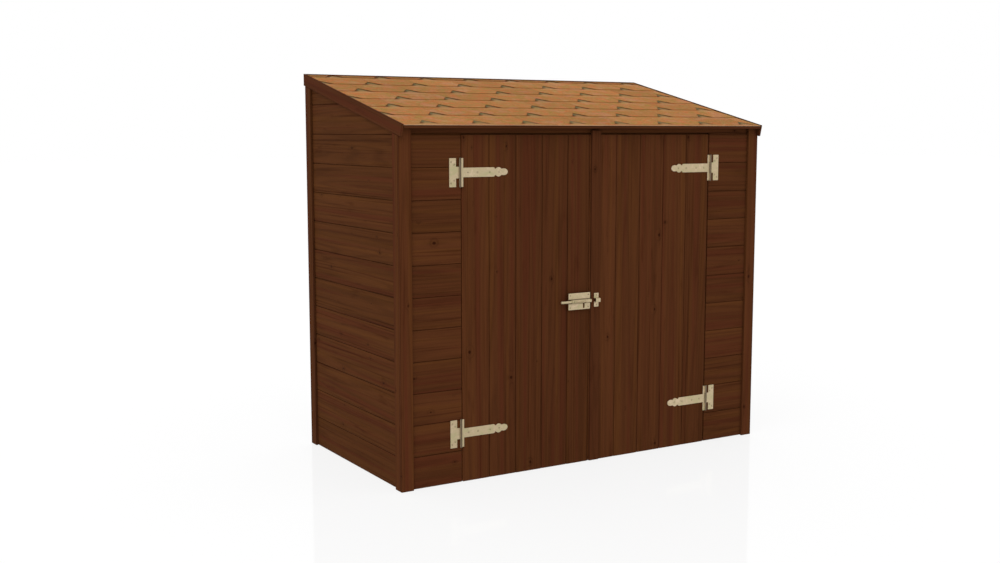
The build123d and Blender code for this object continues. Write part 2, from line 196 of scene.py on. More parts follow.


# Brown stained softwood. The grain attribute holds metres along, across and into each board, shifted for
# each board, the tone attribute a chance value, and the edge attribute 1 in a joint and -1 on a sawn edge,
# where light is painted
def woodFinish(name, base, streaks=1.0, sawn=0.0, spread=0.16):
    make = Finish(name, Specular_IOR_Level=0.01)
    grain = make.attribute("grain", "Vector")
    tone = make.attribute("tone")
    edge = make.attribute("edge")
    # knots: the nearest point of stretched cells, measured again in metres
    rows, columns = 1 / stain["knotsEach"], 1 / stain["knotAcross"]
    stretched = make.scaled(grain, rows, columns, columns)
    spot = make.cells(stretched, "Position", dimensions="2D")
    chance = make.cells(stretched, "Color", dimensions="2D")
    away = make.vector("SUBTRACT", stretched, spot)
    near = make.scaled(away, 0.8 / rows, 1 / columns, 0.0)
    tail = make.scaled(away, 0.16 / rows, 1 / columns, 0.0)
    wobble = make.noise(make.scaled(grain, 90, 90, 90), 1.0) * stain["wobble"]
    reach = make.vector("LENGTH", near, output="Value") + wobble
    sweep = make.vector("LENGTH", tail, output="Value") + wobble
    size = make.channel(chance, 1)
    radius = stain["knotLeast"] + size * size * stain["knotMore"]
    present = make.between(make.channel(chance, 0), 1 - stain["knotShare"], 1.02 - stain["knotShare"])
    knot = make.between(reach / radius, 1.25, 0.85) * present
    halo = make.between(reach / radius, 4.2, 1.0) * present
    flame = make.between(sweep / radius, 2.1, 0.6) * present
    # growth rings: level lines of a stretched noise, bent round the knots
    swell = make.noise(make.scaled(grain, 0.28, 7.5, 5.5), 1.5, 0.4)
    rings = swell.math("PINGPONG", swell * 17 + halo * 0.9, 0.5)
    late = make.between(rings, 0.20, 0.46)
    broad = make.noise(make.scaled(grain, 0.8, 24, 11), 2.0)
    streak = make.noise(make.scaled(grain, 1.2, 118, 40), 3.0, 0.55, 0.2)
    fibre = make.noise(make.scaled(grain, 7, 420, 200), 3.0, 0.6)
    patch = make.noise(make.scaled(grain, 5.0, 30, 20), 2.0, 0.6)
    hue = make.noise(make.scaled(grain, 0.5, 30, 12), 1.5)
    dark = kept(base, stain["streak"])
    colour = make.tint(linear(*base), hue, 0.52, 0.68, 0.50, linear(*stain["red"]))
    colour = make.tint(colour, hue, 0.47, 0.33, 0.35, linear(*stain["yellow"]))
    colour = make.tint(colour, streak, 0.55, 0.72, 0.62 * streaks, dark)
    colour = make.tint(colour, patch, 0.60, 0.78, 0.40 * streaks, dark)
    level = 1 - 0.5 * spread + spread * tone + (broad - 0.5) * 0.36 * streaks
    level = level - late * 0.13 + (fibre - 0.5) * 0.46 - 0.08 * halo - 0.14 * flame
    # painted light on the leaves' sawn edges, where they stand in the gaps
    level = level + make.between(edge, -0.1, -0.8) * stain["paintedGapLight"]
    colour = make.shade(colour, level)
    colour = make.mix(knot * 0.9, colour, kept(base, stain["knot"]))
    colour = make.tint(colour, edge, 0.25, 1.0, 0.5, linear(*stain["joint"]))
    rough = 0.62 + 0.18 * fibre + 0.10 * edge - 0.10 * knot
    saw = make.noise(make.scaled(grain, 420, 60, 60), 1.0) * sawn
    relief = fibre * 0.5 + streak * 0.55 - late * 0.35 + knot * 0.5 + saw
    return make.finish(colour, rough, relief, stain["relief"])


woods = {
    "wall": woodFinish("stained boards", stain["wall"]),
    "side": woodFinish("stained side boards", stain["side"], 1.25),
    "trim": woodFinish("stained trim", stain["trim"], 0.8, spread=0.06),
    "edging": woodFinish("stained edging", stain["edging"], 1.0, spread=0.06),
    "inside": woodFinish("dipped frame timber", stain["inside"], 0.7, 0.35),
}

shingleLook = {
    "granule": (164, 114, 64),     # levels of the mineral coat
    "warm": (182, 106, 60),
    "pink": (182, 124, 96),
    "pale": (182, 145, 102),
    "olive": (142, 116, 54),
    "shadow": (98, 96, 66),        # printed shade behind each notch, at its middle
    "foot": (92, 52, 28),          # and towards its two feet, as painted shade at the notch's corners
    "butt": (142, 94, 54),
    # flank: dark granule specks, and painted shade beside the slits and on a notch's cut flanks
    "flank": (98, 60, 34),
    "cut": (196, 152, 122),        # painted highlight on the cut edge at the eave
}


# Mineral-coated bitumen. The tab attribute holds metres from a tab's middle, metres up from its butt, and
# a chance value, low on the last course as painted shade, and the edge attribute is 1 on the cut edges and
# below
def shingleFinish(name, look):
    make = Finish(name, Specular_IOR_Level=0.02)
    ink = {key: linear(*levels) for key, levels in shingleLook.items()}
    place = make.place()
    tab = make.attribute("tab", "Vector")
    edge = make.attribute("edge")
    up = make.part(tab, 1)
    side = abs(make.part(tab, 0))
    grains = make.cells(place, "Color", 520.0)
    speck = make.channel(grains, 0)
    pick = make.channel(grains, 1)
    blotch = make.noise(make.scaled(place, 26, 30, 30), 3.0, 0.6)
    cloud = make.noise(make.scaled(place, 11, 12, 12), 2.0, 0.5, 0.4)
    drift = make.noise(make.scaled(place, 17, 21, 21), 2.0, 0.6, 0.3)
    colour = ink["granule"]
    for mask, low, high, share, tint in (
            (blotch, 0.50, 0.62, 0.80, "warm"),
            (blotch, 0.47, 0.36, 0.70, "olive"),
            (cloud, 0.54, 0.66, 0.42, "pink"),
            (drift, 0.58, 0.70, 0.40, "pale"),
            (pick, 0.86, 0.93, 0.55, "pale"),
            (pick, 0.10, 0.04, 0.65, "flank")):
        colour = make.tint(colour, mask, low, high, share, ink[tint])
    # shade printed where the next course's notch shows the tab, darker along the notch's flanks and brown
    # towards its feet as painted shade under the tab edges, and a pale patch below it
    rise = up - look["course"]
    lean = look["notchHalf"] / look["notchHeight"]
    ragged = (blotch - 0.5) * 0.03
    flank = side - (look["notchHeight"] - rise) * lean + ragged * 0.3
    # painted shade: strongest along the notch's flanks, under the edges of the tabs above
    shade = make.between(flank, 0.016, 0.007) * make.between(flank, -0.026, -0.008, 0.42, 1.0)
    shade = shade * make.between(rise + ragged * 0.5, -0.008, 0.002)
    below = make.between(side + ragged, 0.075, 0.02) * make.between(rise, -0.060, -0.012)
    below = below * make.between(rise, 0.03, 0.0)
    printedAndPaintedShade = make.tint(ink["shadow"], side / look["notchHalf"], 0.25, 0.75, 1.0, ink["foot"])
    colour = make.mix(below * 0.30, colour, ink["pale"])
    colour = make.mix(shade * 0.92, colour, printedAndPaintedShade)
    # painted shade: a dark line along the tab's own cut corners, and a faint dark line beside the slit that
    # runs up from each notch
    corner = side - look["pitch"] / 2 + (look["notchHeight"] - up) * lean
    line = make.between(corner, -look["outline"], -0.3 * look["outline"])
    line = line * make.between(up, look["notchHeight"], 0.8 * look["notchHeight"])
    colour = make.mix(line * 0.6, colour, ink["foot"])
    colour = make.tint(colour, side, look["pitch"] / 2 - 0.006, look["pitch"] / 2 - 0.002, 0.12, ink["flank"])
    # the cut edges: butt, flanks of a notch darkened as painted shade, the rest of a side, and the eave
    # lightened as a painted highlight
    cut = make.tint(ink["butt"], up, 0.002, 0.014, 1.0, ink["flank"])
    cut = make.tint(cut, up, look["notchHeight"] - 0.006, look["notchHeight"] + 0.006, 1.0, ink["granule"])
    eave = look["course"] - look["starter"]
    cut = make.tint(cut, up, eave - 0.006, eave - 0.001, 1.0, ink["cut"])
    colour = make.tint(colour, edge, 0.4, 0.6, 0.9, cut)
    # the tab's chance value sets its tone; on the last course it paints shade
    colour = make.shade(colour, 0.90 + 0.16 * make.part(tab, 2) + (speck - 0.5) * 0.22)
    return make.finish(colour, 0.86 + 0.08 * speck, speck * 0.7 + blotch * 0.5, look["relief"])


zincLook = {
    "coat": (196, 178, 144),       # levels of the passivated zinc
    "edge": (216, 194, 164),
    "green": (182, 176, 132),
    "dull": (146, 130, 98),
    # painted shade for the hinge and bolt gaps and the screws' recesses
    "paintedShade": (66, 46, 30),
    "relief": 0.15 * mm,
}
# painted shade bands: the gap beside each hinge knuckle, and the gaps above and below the bolt's rod
hingePinShade = {"axis": 0, "offset": 0.0, "centre": 702 * mm, "half": 4.8 * mm, "share": 0.85}
boltRodShade = {"axis": 2, "offset": 768 * mm, "centre": 9.6 * mm, "half": 1.5 * mm, "share": 0.75}


# Passivated zinc on pressed steel: soft clouds, small spangles and fine rolling lines. An optional band of
# painted shade darkens where ||v - offset| - centre| < half, with v the place along an axis: the gap beside a
# hinge's knuckle, or the gaps above and below the bolt's rod
def zincFinish(name, shadeBand=None):
    make = Finish(name, Specular_IOR_Level=0.4)
    place = make.place()
    edge = make.attribute("edge")
    cloud = make.noise(make.scaled(place, 38, 38, 38), 3.0, 0.55, 0.5)
    flake = make.channel(make.cells(place, "Color", 260.0), 0)
    lines = make.noise(make.scaled(place, 60, 900, 900), 2.0)
    spots = make.noise(make.scaled(place, 95, 95, 95), 2.0, 0.6)
    colour = make.tint(linear(*zincLook["coat"]), cloud, 0.50, 0.68, 0.6, linear(*zincLook["green"]))
    colour = make.tint(colour, cloud, 0.46, 0.30, 0.6, linear(*zincLook["edge"]))
    colour = make.tint(colour, spots, 0.62, 0.74, 0.5, linear(*zincLook["dull"]))
    # painted shade: the edge attribute darkens the screws' cross recesses and the rings where their heads
    # meet the plates
    dark = make.between(edge, 0.2, 0.8) * 0.7
    # painted shade in a gap beside a hinge knuckle or along the bolt's rod
    if shadeBand:
        away = abs(abs(make.part(place, shadeBand["axis"]) - shadeBand["offset"]) - shadeBand["centre"])
        dark = dark + make.between(away, 1.4 * shadeBand["half"], 0.6 * shadeBand["half"]) * shadeBand["share"]
    colour = make.mix(dark, colour, linear(*zincLook["paintedShade"]))
    colour = make.shade(colour, 0.93 + 0.10 * flake + (lines - 0.5) * 0.08)
    metal = (0.55 + 0.30 * make.between(spots, 0.66, 0.55)) * (1 - dark)
    make.tree.links.new(metal.socket, make.shader.inputs["Metallic"])
    rough = 0.40 + 0.14 * flake + 0.10 * cloud + 0.2 * dark
    return make.finish(colour, rough, flake * 0.4 + lines * 0.3, zincLook["relief"])


zinc = zincFinish("passivated zinc")
hingeZinc = zincFinish("hinge zinc", hingePinShade)
boltZinc = zincFinish("bolt zinc", boltRodShade)
print("finishes made")


def addObject(name, data):
    made = bpy.data.objects.new(name, data)
    scene.collection.objects.link(made)
    return made


def setAttribute(mesh, key, values, domain="POINT"):
    values = np.asarray(values, float)
    kind, field = ("FLOAT_VECTOR", "vector") if values.ndim == 2 else ("FLOAT", "value")
    mesh.attributes.new(key, kind, domain).data.foreach_set(field, values.ravel())


# A mesh becomes an object that rides on a body, in place of the nodes that it dresses
def placePiece(name, mesh, body, replaced):
    piece = addObject(name, mesh)
    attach(piece, body)
    if replaced:
        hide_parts(*replaced)


# Puts points and faces into a new piece
def addPiece(name, points, faces, body, material, attributes, replaced=(), smooth=True):
    mesh = bpy.data.meshes.new(name)
    mesh.from_pydata(np.asarray(points).tolist(), [], faces)
    mesh.materials.append(material)
    mesh.polygons.foreach_set("use_smooth", [smooth] * len(mesh.polygons))
    for key, values in attributes.items():
        setAttribute(mesh, key, values)
    mesh.update()
    placePiece(name, mesh, body, replaced)
    return mesh


# Welds a mesh or cuts it on a plane where asked, closes the cut, and turns all faces outwards
def tidyMesh(mesh, plane=None, weld=None, crease=35):
    shape = bmesh.new()
    shape.from_mesh(mesh)
    if weld:
        bmesh.ops.remove_doubles(shape, verts=shape.verts[:], dist=weld)
    if plane:
        everything = shape.verts[:] + shape.edges[:] + shape.faces[:]
        cut = bmesh.ops.bisect_plane(shape, geom=everything, dist=1e-6, plane_co=plane[0], plane_no=plane[1],
                                     clear_outer=True)
        rim = [e for e in cut["geom_cut"] if isinstance(e, bmesh.types.BMEdge)]
        bmesh.ops.holes_fill(shape, edges=rim, sides=0)
    bmesh.ops.recalc_face_normals(shape, faces=shape.faces[:])
    shape.to_mesh(mesh)
    shape.free()
    mesh.set_sharp_from_angle(angle=math.radians(crease))
    mesh.update()


def meshPoints(mesh):
    points = np.empty(len(mesh.vertices) * 3, np.float32)
    mesh.vertices.foreach_get("co", points)
    return points.reshape(-1, 3).astype(float)


# The roof's slope, from the side bargeboard: the top of its front end and the top of its back end
bargePoints = meshPoints(nodes["left_bargeboard"].data)
eavePoint = bargePoints[bargePoints[:, 1].argmin()]
ridgePoint = bargePoints[bargePoints[:, 2].argmax()]
slope = math.atan2(ridgePoint[2] - eavePoint[2], ridgePoint[1] - eavePoint[1])
upSlope = np.array([0, math.cos(slope), math.sin(slope)])
roofNormal = np.array([0, -math.sin(slope), math.cos(slope)])
deckDrop = 17 * mm       # undersides of the deck, the shingles and the bargeboards, under the roof's top
shingleDrop = 7 * mm
bargeDrop = 55 * mm


# A point x across, s up the slope from the eave and drop under the roof's top
def onRoof(x, s, drop):
    x, s, drop = np.broadcast_arrays(x, s, drop)
    start = np.array([0, eavePoint[1], eavePoint[2]])
    return start + x[..., None] * [1, 0, 0] + s[..., None] * upSlope - drop[..., None] * roofNormal


# A stretch of smooth random values: a few cosines of random phase, between about -1 and 1
def wander(t, waves=4):
    phases = draw.uniform(0, 2 * math.pi, waves)
    rates = draw.uniform(1.5, 9.0, waves)
    return sum(np.cos(t * rate + phase) for rate, phase in zip(rates, phases)) / math.sqrt(waves)


boardLook = {
    "thickness": 16 * mm,
    "gap": 0.8 * mm,         # half the slit at the bottom of a joint
    "bevel": 2.6 * mm,       # half the width of the V in the face
    "bevelWander": 0.9 * mm,
    "wanderRate": 3,         # how fast it wanders along a board
    "depth": 4.0 * mm,       # of the V
    "crown": 0.5 * mm,       # the middle of a board stands this much proud of its edges
    "ends": 0.8 * mm,        # boards end unevenly by this much
    "arris": 1.2 * mm,
    "tongue": (5.7 * mm, 10.3 * mm),   # its two sides, from the back of a board of the usual thickness
    "tongueReach": 5.2 * mm,
    "play": 0.4 * mm,        # of the groove round the tongue
    "backMark": 0.1,
    "stations": 13,
    "flankSteps": 4,
    "faceSteps": 5,
}


# One board: a closed profile in across and out, carried along. The face's profile has a V flank at each side,
# a quarter round into the face, and a crown of 1 - (2t - 1)^2 between them
def boardPoints(low, high, ends, thickness, vLow, vHigh, sideMark):
    look = boardLook
    along = np.linspace(0, 1, look["stations"])
    length = ends[1] - ends[0]
    bevels = [look["bevel"] + look["bevelWander"] * wander(along * length * look["wanderRate"]) if v
              else np.full(len(along), look["arris"]) for v in (vLow, vHigh)]
    lowDepth, highDepth = (look["depth"] if v else look["arris"] for v in (vLow, vHigh))
    lowSide = low + (look["gap"] if vLow else 0)
    highSide = high - (look["gap"] if vHigh else 0)
    arris, play = look["arris"], look["play"]
    top = thickness - look["crown"]
    turn = np.linspace(0, math.pi / 2, look["flankSteps"])
    t = np.linspace(0, 1, look["faceSteps"] + 2)[1:-1]
    face = np.stack([low + (high - low) * t, top + look["crown"] * (1 - (2 * t - 1) ** 2)], -1)
    back = [[highSide, arris], [highSide - arris, 0], [lowSide + arris, 0], [lowSide, arris]]
    foot, crest = np.array(look["tongue"]) * thickness / look["thickness"]
    if vHigh:
        reach = highSide + look["tongueReach"]
        back = [[highSide, crest], [reach, crest], [reach, foot], [highSide, foot]] + back
    if vLow:
        reach = lowSide + look["tongueReach"] + play
        back += [[lowSide, foot - play], [reach, foot - play], [reach, crest + play], [lowSide, crest + play]]
    rows = []
    for lowBevel, highBevel in zip(*bevels):
        lowFlank = [lowSide + lowBevel * (1 - np.cos(turn)), top - lowDepth * (1 - np.sin(turn))]
        highFlank = [highSide - highBevel * (1 - np.cos(turn)), top - highDepth * (1 - np.sin(turn))]
        rows.append(np.concatenate([np.stack(lowFlank, -1), face, np.stack(highFlank, -1)[::-1], back]))
    profile = np.array(rows)
    lowMark = (1 - np.sin(turn)) * (1 if vLow else sideMark)
    highMark = (1 - np.sin(turn[::-1])) * (1 if vHigh else sideMark)
    marks = np.concatenate([lowMark, np.zeros(len(t)), highMark, np.full(len(back), look["backMark"])])
    stations = ends[0] + length * along
    stations[0] += look["ends"] * draw.uniform(0, 1)
    stations[-1] -= look["ends"] * draw.uniform(0, 1)
    local = np.concatenate([np.broadcast_to(stations[:, None, None], profile.shape[:2] + (1,)), profile], -1)
    return local, np.broadcast_to(marks, profile.shape[:2])


# Quads between neighbouring stations of a closed profile, and a cap at each end
def sweptFaces(stations, ring, first):
    i = np.arange(stations - 1)[:, None] * ring
    j = np.arange(ring)[None, :]
    k = (j + 1) % ring
    quads = np.stack([i + j, i + k, i + ring + k, i + ring + j], -1).reshape(-1, 4) + first
    last = first + (stations - 1) * ring
    return quads.tolist() + [list(range(first, first + ring))[::-1], list(range(last, last + ring))]


# Boards side by side, each from one joint to the next. The axes are the way that the boards run, the way
# that the joints follow each other, and the way that the faces look
def layBoards(name, body, node, joints, ends, origin, axes, thickness=boardLook["thickness"], wood="wall",
              plane=None, sideMark=0):
    pointSets, grainSets, toneSets, edgeSets, faces = [], [], [], [], []
    count = 0
    for k, (low, high) in enumerate(zip(joints, joints[1:])):
        local, marks = boardPoints(low, high, ends, thickness, k > 0, k < len(joints) - 2, sideMark)
        shift = draw.uniform(0, 60, 3)
        pointSets.append((np.array(origin) + local @ np.array(axes, float)).reshape(-1, 3))
        grainSets.append((local + shift).reshape(-1, 3))
        toneSets.append(np.full(marks.size, draw.uniform(0, 1)))
        edgeSets.append(marks.ravel())
        faces += sweptFaces(*marks.shape, count)
        count += marks.size
    attributes = {"grain": np.concatenate(grainSets), "tone": np.concatenate(toneSets),
                  "edge": np.concatenate(edgeSets)}
    mesh = addPiece(name, np.concatenate(pointSets), faces, body, woods[wood], attributes, [node])
    tidyMesh(mesh, plane)


right, back, front, up = (1, 0, 0), (0, 1, 0), (0, -1, 0), (0, 0, 1)
cover = 139 * mm
lower = 2 * mm           # the bottom ends of boards reach this much further down
raised = 3 * mm          # and the tops of the front panels this much further up
leafShift = 3 * mm       # the first joint of a leaf is this much nearer its hinges
deckBoards = {"count": 10, "thickness": 10 * mm, "inset": 4 * mm}
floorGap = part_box("left_wall")[0].z
roofCut = (Vector(onRoof(0.0, 0.5, deckDrop)), Vector(roofNormal))


# Level joints from the bottom board up to a height
def levelJoints(top):
    count = math.ceil((top - floorGap) / cover)
    return [floorGap - lower] + [floorGap + cover * k for k in range(1, count)] + [top]


for side, sign in (("left", -1), ("right", 1)):
    low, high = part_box(side + "_wall")
    inner = sign * min(abs(low.x), abs(high.x))
    layBoards(side + "_wall_boards", "shelter", side + "_wall", levelJoints(high.z), (low.y, high.y),
              (inner, 0, 0), (back, up, (sign, 0, 0)), wood="side", plane=roofCut)
    panel = "front_" + side + "_panel"
    low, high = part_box(panel)
    layBoards(panel + "_boards", "shelter", panel, levelJoints(high.z + raised), (low.x, high.x),
              (0, high.y, 0), (right, up, front))
low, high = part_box("back_wall")
layBoards("back_wall_boards", "shelter", "back_wall", levelJoints(high.z), (low.x, high.x), (0, low.y, 0),
          (right, up, back), plane=roofCut)

for side, inward in (("left", 1), ("right", -1)):
    low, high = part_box(side + "_door_boards")
    hingeEdge = low.x if side == "left" else high.x
    count = round((high.x - low.x) / cover)
    inner = [hingeEdge + inward * (cover * k - leafShift) for k in range(1, count)]
    # sideMark -1 gives the leaves' outer sawn edges painted light
    layBoards(side + "_leaf_boards", side + "_door", side + "_door_boards", sorted([low.x, high.x] + inner),
              (low.z - lower, high.z), (0, high.y, 0), (up, right, front), sideMark=-1)

low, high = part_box("roof_deck")
deckLow, deckHigh = ((y - eavePoint[1]) / math.cos(slope) for y in (low.y, high.y))
deckJoints = np.linspace(deckLow + deckBoards["inset"], deckHigh - deckBoards["inset"],
                         deckBoards["count"] + 1).tolist()
layBoards("roof_deck_boards", "shelter", "roof_deck", deckJoints, (low.x, high.x),
          onRoof(0.0, 0.0, shingleDrop), (right, upSlope, -roofNormal), deckBoards["thickness"], "inside")
print("boards laid")


timberLook = {
    "arris": 1.6 * mm,
    "steps": 2,
    "sharp": 25,             # degrees from which an edge is eased
    "weld": 0.02 * mm,
    "flat": 1,               # degrees up to which faces are merged
}


# The vertices of each separate solid, sorted by where the solids lie
def islandsOf(shape):
    islands, seen = [], set()
    for vert in shape.verts:
        if vert in seen:
            continue
        seen.add(vert)
        island = [vert]
        for member in island:
            found = [e.other_vert(member) for e in member.link_edges if e.other_vert(member) not in seen]
            seen.update(found)
            island += found
        islands.append(island)
    return sorted(islands, key=lambda island: np.mean([v.co for v in island], 0).round(4).tolist())


# The direction of the longest edge, turned so that its largest part is positive
def mainDirection(edges):
    spans = [e.verts[1].co - e.verts[0].co for e in edges]
    ranks = [[round(s.length, 5)] + [round(abs(part) / s.length, 4) for part in s] for s in spans]
    best = spans[ranks.index(max(ranks))].normalized()
    return best if max(best, key=abs) > 0 else -best


# Eases the sharp edges of raw timbers and marks each one's grain: metres along its longest edge, across
# and in
def easeTimbers(name, shape, body, node, wood, arris=timberLook["arris"]):
    layer = shape.verts.layers.int.new("timber")
    shape.normal_update()
    sharp = [e for e in shape.edges
             if arris and e.is_convex and e.calc_face_angle(0) > math.radians(timberLook["sharp"])]
    frames = []
    for k, island in enumerate(islandsOf(shape)):
        edges = list(dict.fromkeys(e for v in island for e in v.link_edges))
        lengthwise = mainDirection(edges)
        across = mainDirection([e for e in edges if abs(mainDirection([e]).dot(lengthwise)) < 0.1])
        frames.append((np.array([lengthwise, across, lengthwise.cross(across)]), draw.uniform(0, 60, 3),
                       draw.uniform(0, 1), np.mean([v.co for v in island], 0)))
        for vert in island:
            vert[layer] = k
    made = bmesh.ops.bevel(shape, geom=sharp, offset=arris, segments=timberLook["steps"], profile=0.5,
                           affect="EDGES", clamp_overlap=True)
    rounded = set(made["faces"])
    for face in shape.faces:
        face.smooth = face in rounded
    bmesh.ops.recalc_face_normals(shape, faces=shape.faces[:])
    edgeMarks = [float(face.smooth) for face in shape.faces for _ in face.verts]
    mesh = bpy.data.meshes.new(name)
    shape.to_mesh(mesh)
    shape.free()
    points = meshPoints(mesh)
    which = np.empty(len(points), np.int32)
    mesh.attributes["timber"].data.foreach_get("value", which)
    mesh.attributes.remove(mesh.attributes["timber"])
    grain, tone = np.zeros_like(points), np.zeros(len(points))
    for k, (axes, shift, shade, middle) in enumerate(frames):
        own = which == k
        grain[own] = (points[own] - middle) @ axes.T + shift
        tone[own] = shade
    setAttribute(mesh, "grain", grain)
    setAttribute(mesh, "tone", tone)
    setAttribute(mesh, "edge", edgeMarks, "CORNER")
    mesh.materials.append(woods[wood])
    placePiece(name, mesh, body, [node])


# A merged copy of a node's solids, with its flat faces whole again
def copySolids(node):
    shape = bmesh.new()
    shape.from_mesh(nodes[node].data)
    bmesh.ops.remove_doubles(shape, verts=shape.verts[:], dist=timberLook["weld"])
    bmesh.ops.dissolve_limit(shape, angle_limit=math.radians(timberLook["flat"]), verts=shape.verts[:],
                             edges=shape.edges[:])
    return shape


# A raw board from an outline of places across and drops under the roof's top, between two places along y.
# A drop of None is the ground
def rawBoard(shape, outline, near, far):
    loops = []
    for y in (near, far):
        rise = eavePoint[2] + (y - eavePoint[1]) * math.tan(slope)
        loops.append([shape.verts.new((x, y, 0 if drop is None else rise - drop / math.cos(slope)))
                      for x, drop in outline])
    shape.faces.new(loops[0])
    shape.faces.new(loops[1][::-1])
    for k in range(len(outline)):
        after = (k + 1) % len(outline)
        shape.faces.new((loops[0][k], loops[1][k], loops[1][after], loops[0][after]))


timbers = {
    ("shelter", "inside"): ["front_left_post", "front_right_post", "left_door_post", "right_door_post",
                            "back_posts", "bottom_rails", "front_top_rail", "back_top_rail", "rafters"],
    ("shelter", "edging"): ["header_board", "front_fascia", "back_fascia", "left_bargeboard",
                            "right_bargeboard"],
    ("left_door", "inside"): ["left_door_ledges", "left_door_braces"],
    ("right_door", "inside"): ["right_door_ledges", "right_door_braces"],
    ("left_door", "edging"): ["bolt_packer"],
    ("right_door", "edging"): ["centre_batten"],
}
for (body, wood), names in timbers.items():
    for node in names:
        arris = 0 if node == "bottom_rails" else timberLook["arris"]
        easeTimbers(node + "_timber", copySolids(node), body, node, wood, arris)

# Corner trims: two boards with a fine joint between them. What stands outside the walls ends under the
# bargeboard
trimJoint = 0.4 * mm
trimDepth = 11 * mm
for corner in ("front_left", "front_right", "back_left", "back_right"):
    low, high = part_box(corner + "_corner_trim")
    outer = low.x if "left" in corner else high.x
    inner = high.x if "left" in corner else low.x
    wall = outer + math.copysign(trimDepth, inner - outer)
    strip = [(outer, None), (wall, None), (wall, bargeDrop), (outer, bargeDrop)]
    shape = bmesh.new()
    if "front" in corner:
        notched = [(outer, None), (inner, None), (inner, deckDrop), (wall, deckDrop), (wall, bargeDrop),
                   (outer, bargeDrop)]
        rawBoard(shape, notched, low.y, low.y + trimDepth)
        rawBoard(shape, strip, low.y + trimDepth + trimJoint, high.y)
    else:
        edge = wall + math.copysign(trimJoint, inner - outer)
        plain = [(edge, None), (inner, None), (inner, deckDrop), (edge, deckDrop)]
        rawBoard(shape, strip, low.y, high.y)
        rawBoard(shape, plain, high.y - trimDepth, high.y)
    bmesh.ops.recalc_face_normals(shape, faces=shape.faces[:])
    wood = "trim" if "front" in corner else "edging"
    easeTimbers(corner + "_trim_boards", shape, "shelter", corner + "_corner_trim", wood)
print("timbers eased")


roofTabs = {
    "pitch": 253.6 * mm,
    "course": 166.5 * mm,
    "starter": 27 * mm,        # plain strip that shows at the eave
    "notchHalf": 45 * mm,
    "notchHeight": 66 * mm,
    "outline": 5 * mm,         # width of the painted shade line along a notch
    "slit": 1.4 * mm,
    "hidden": 78 * mm,         # what the next course covers
    "thickness": 2.3 * mm,
    "lip": 2.0 * mm,           # the bargeboards stand above a butt edge
    "sink": 2.5 * mm,          # from one butt edge to the next
    "eased": 0.3 * mm,         # what the butt's top edge sinks
    "deckGap": 0.1 * mm,       # least height over the deck
    "firstNotch": -856 * mm,   # a notch of the lowest course
    "uneven": 0.5 * mm,        # a butt lies this much higher or lower
    "curl": 0.175 * mm,
    "lastShade": -1.2,         # painted shade: the strip at the back edge is darker
    "bridge": 1.0 * mm,        # what is left of it behind a notch
    "relief": 1.1 * mm,
    "columns": 9,
    "rows": (0, 0.012, 0.2, 0.5, 0.8, 1.0),
}


# One tab with cut corners. Over u across and v up, its points lie at s = lower(u) + v (top - lower(u)) above
# the butt line, where lower(u) rises straight from the flat butt to a corner. The tab sinks by a fixed slope
def tabPoints(course, butt, end, notches, left, right, last):
    look = roofTabs
    shoulders = [notches[0] + look["notchHalf"], notches[1] - look["notchHalf"]]
    x = np.concatenate([[left, right], np.linspace(*notches, look["columns"]), shoulders])
    x = np.unique(x.round(6))
    x = x[(x >= left - 1e-6) & (x <= right + 1e-6)]
    nearest = np.minimum(abs(x - notches[0]), abs(x - notches[1]))
    cut = look["notchHeight"] * np.clip(1 - nearest / look["notchHalf"], 0, 1)
    cut = (cut + look["uneven"] * draw.uniform(-1, 1)) * (course >= 0)
    lower = np.clip(cut, -butt, end - butt - look["bridge"])
    v = np.array(look["rows"])[:, None]
    up = lower + v * (end - butt - lower)
    share = (x - left) / (right - left)
    lift = look["curl"] * draw.uniform(-1, 1, 2)
    curl = (lift[0] * (1 - share) + lift[1] * share) * np.clip(1 - up / look["course"], 0, 1)
    drop = look["lip"] + look["sink"] * up / look["course"] - curl + look["eased"] * (v == 0)
    under = np.minimum(drop + look["thickness"], shingleDrop - look["deckGap"])
    chance = look["lastShade"] if last else draw.uniform(0, 1)
    x = np.broadcast_to(x, up.shape)
    shown = up if course >= 0 else up + look["course"] - look["starter"]
    tab = np.stack([x - sum(notches) / 2, shown, np.full(up.shape, chance)], -1)
    return onRoof(x, butt + up, drop), onRoof(x, butt + up, under), tab


# Faces of a tab's two sides and of the rim between them. The rim has its own points, so that the butt's dark
# edge doesn't bleed into the coat
def tabFaces(rows, columns, first):
    size = rows * columns
    grid = np.arange(size).reshape(rows, columns)
    quads = np.stack([grid[:-1, :-1], grid[:-1, 1:], grid[1:, 1:], grid[1:, :-1]], -1).reshape(-1, 4)
    rim = np.concatenate([grid[0, :], grid[1:, -1], grid[-1, -2::-1], grid[-2:0:-1, 0]])
    above = np.arange(len(rim)) + 2 * size
    after = np.roll(above, -1)
    walls = np.stack([above, above + len(rim), after + len(rim), after], -1)
    return (np.concatenate([quads, quads[:, ::-1] + size, walls]) + first).tolist(), rim


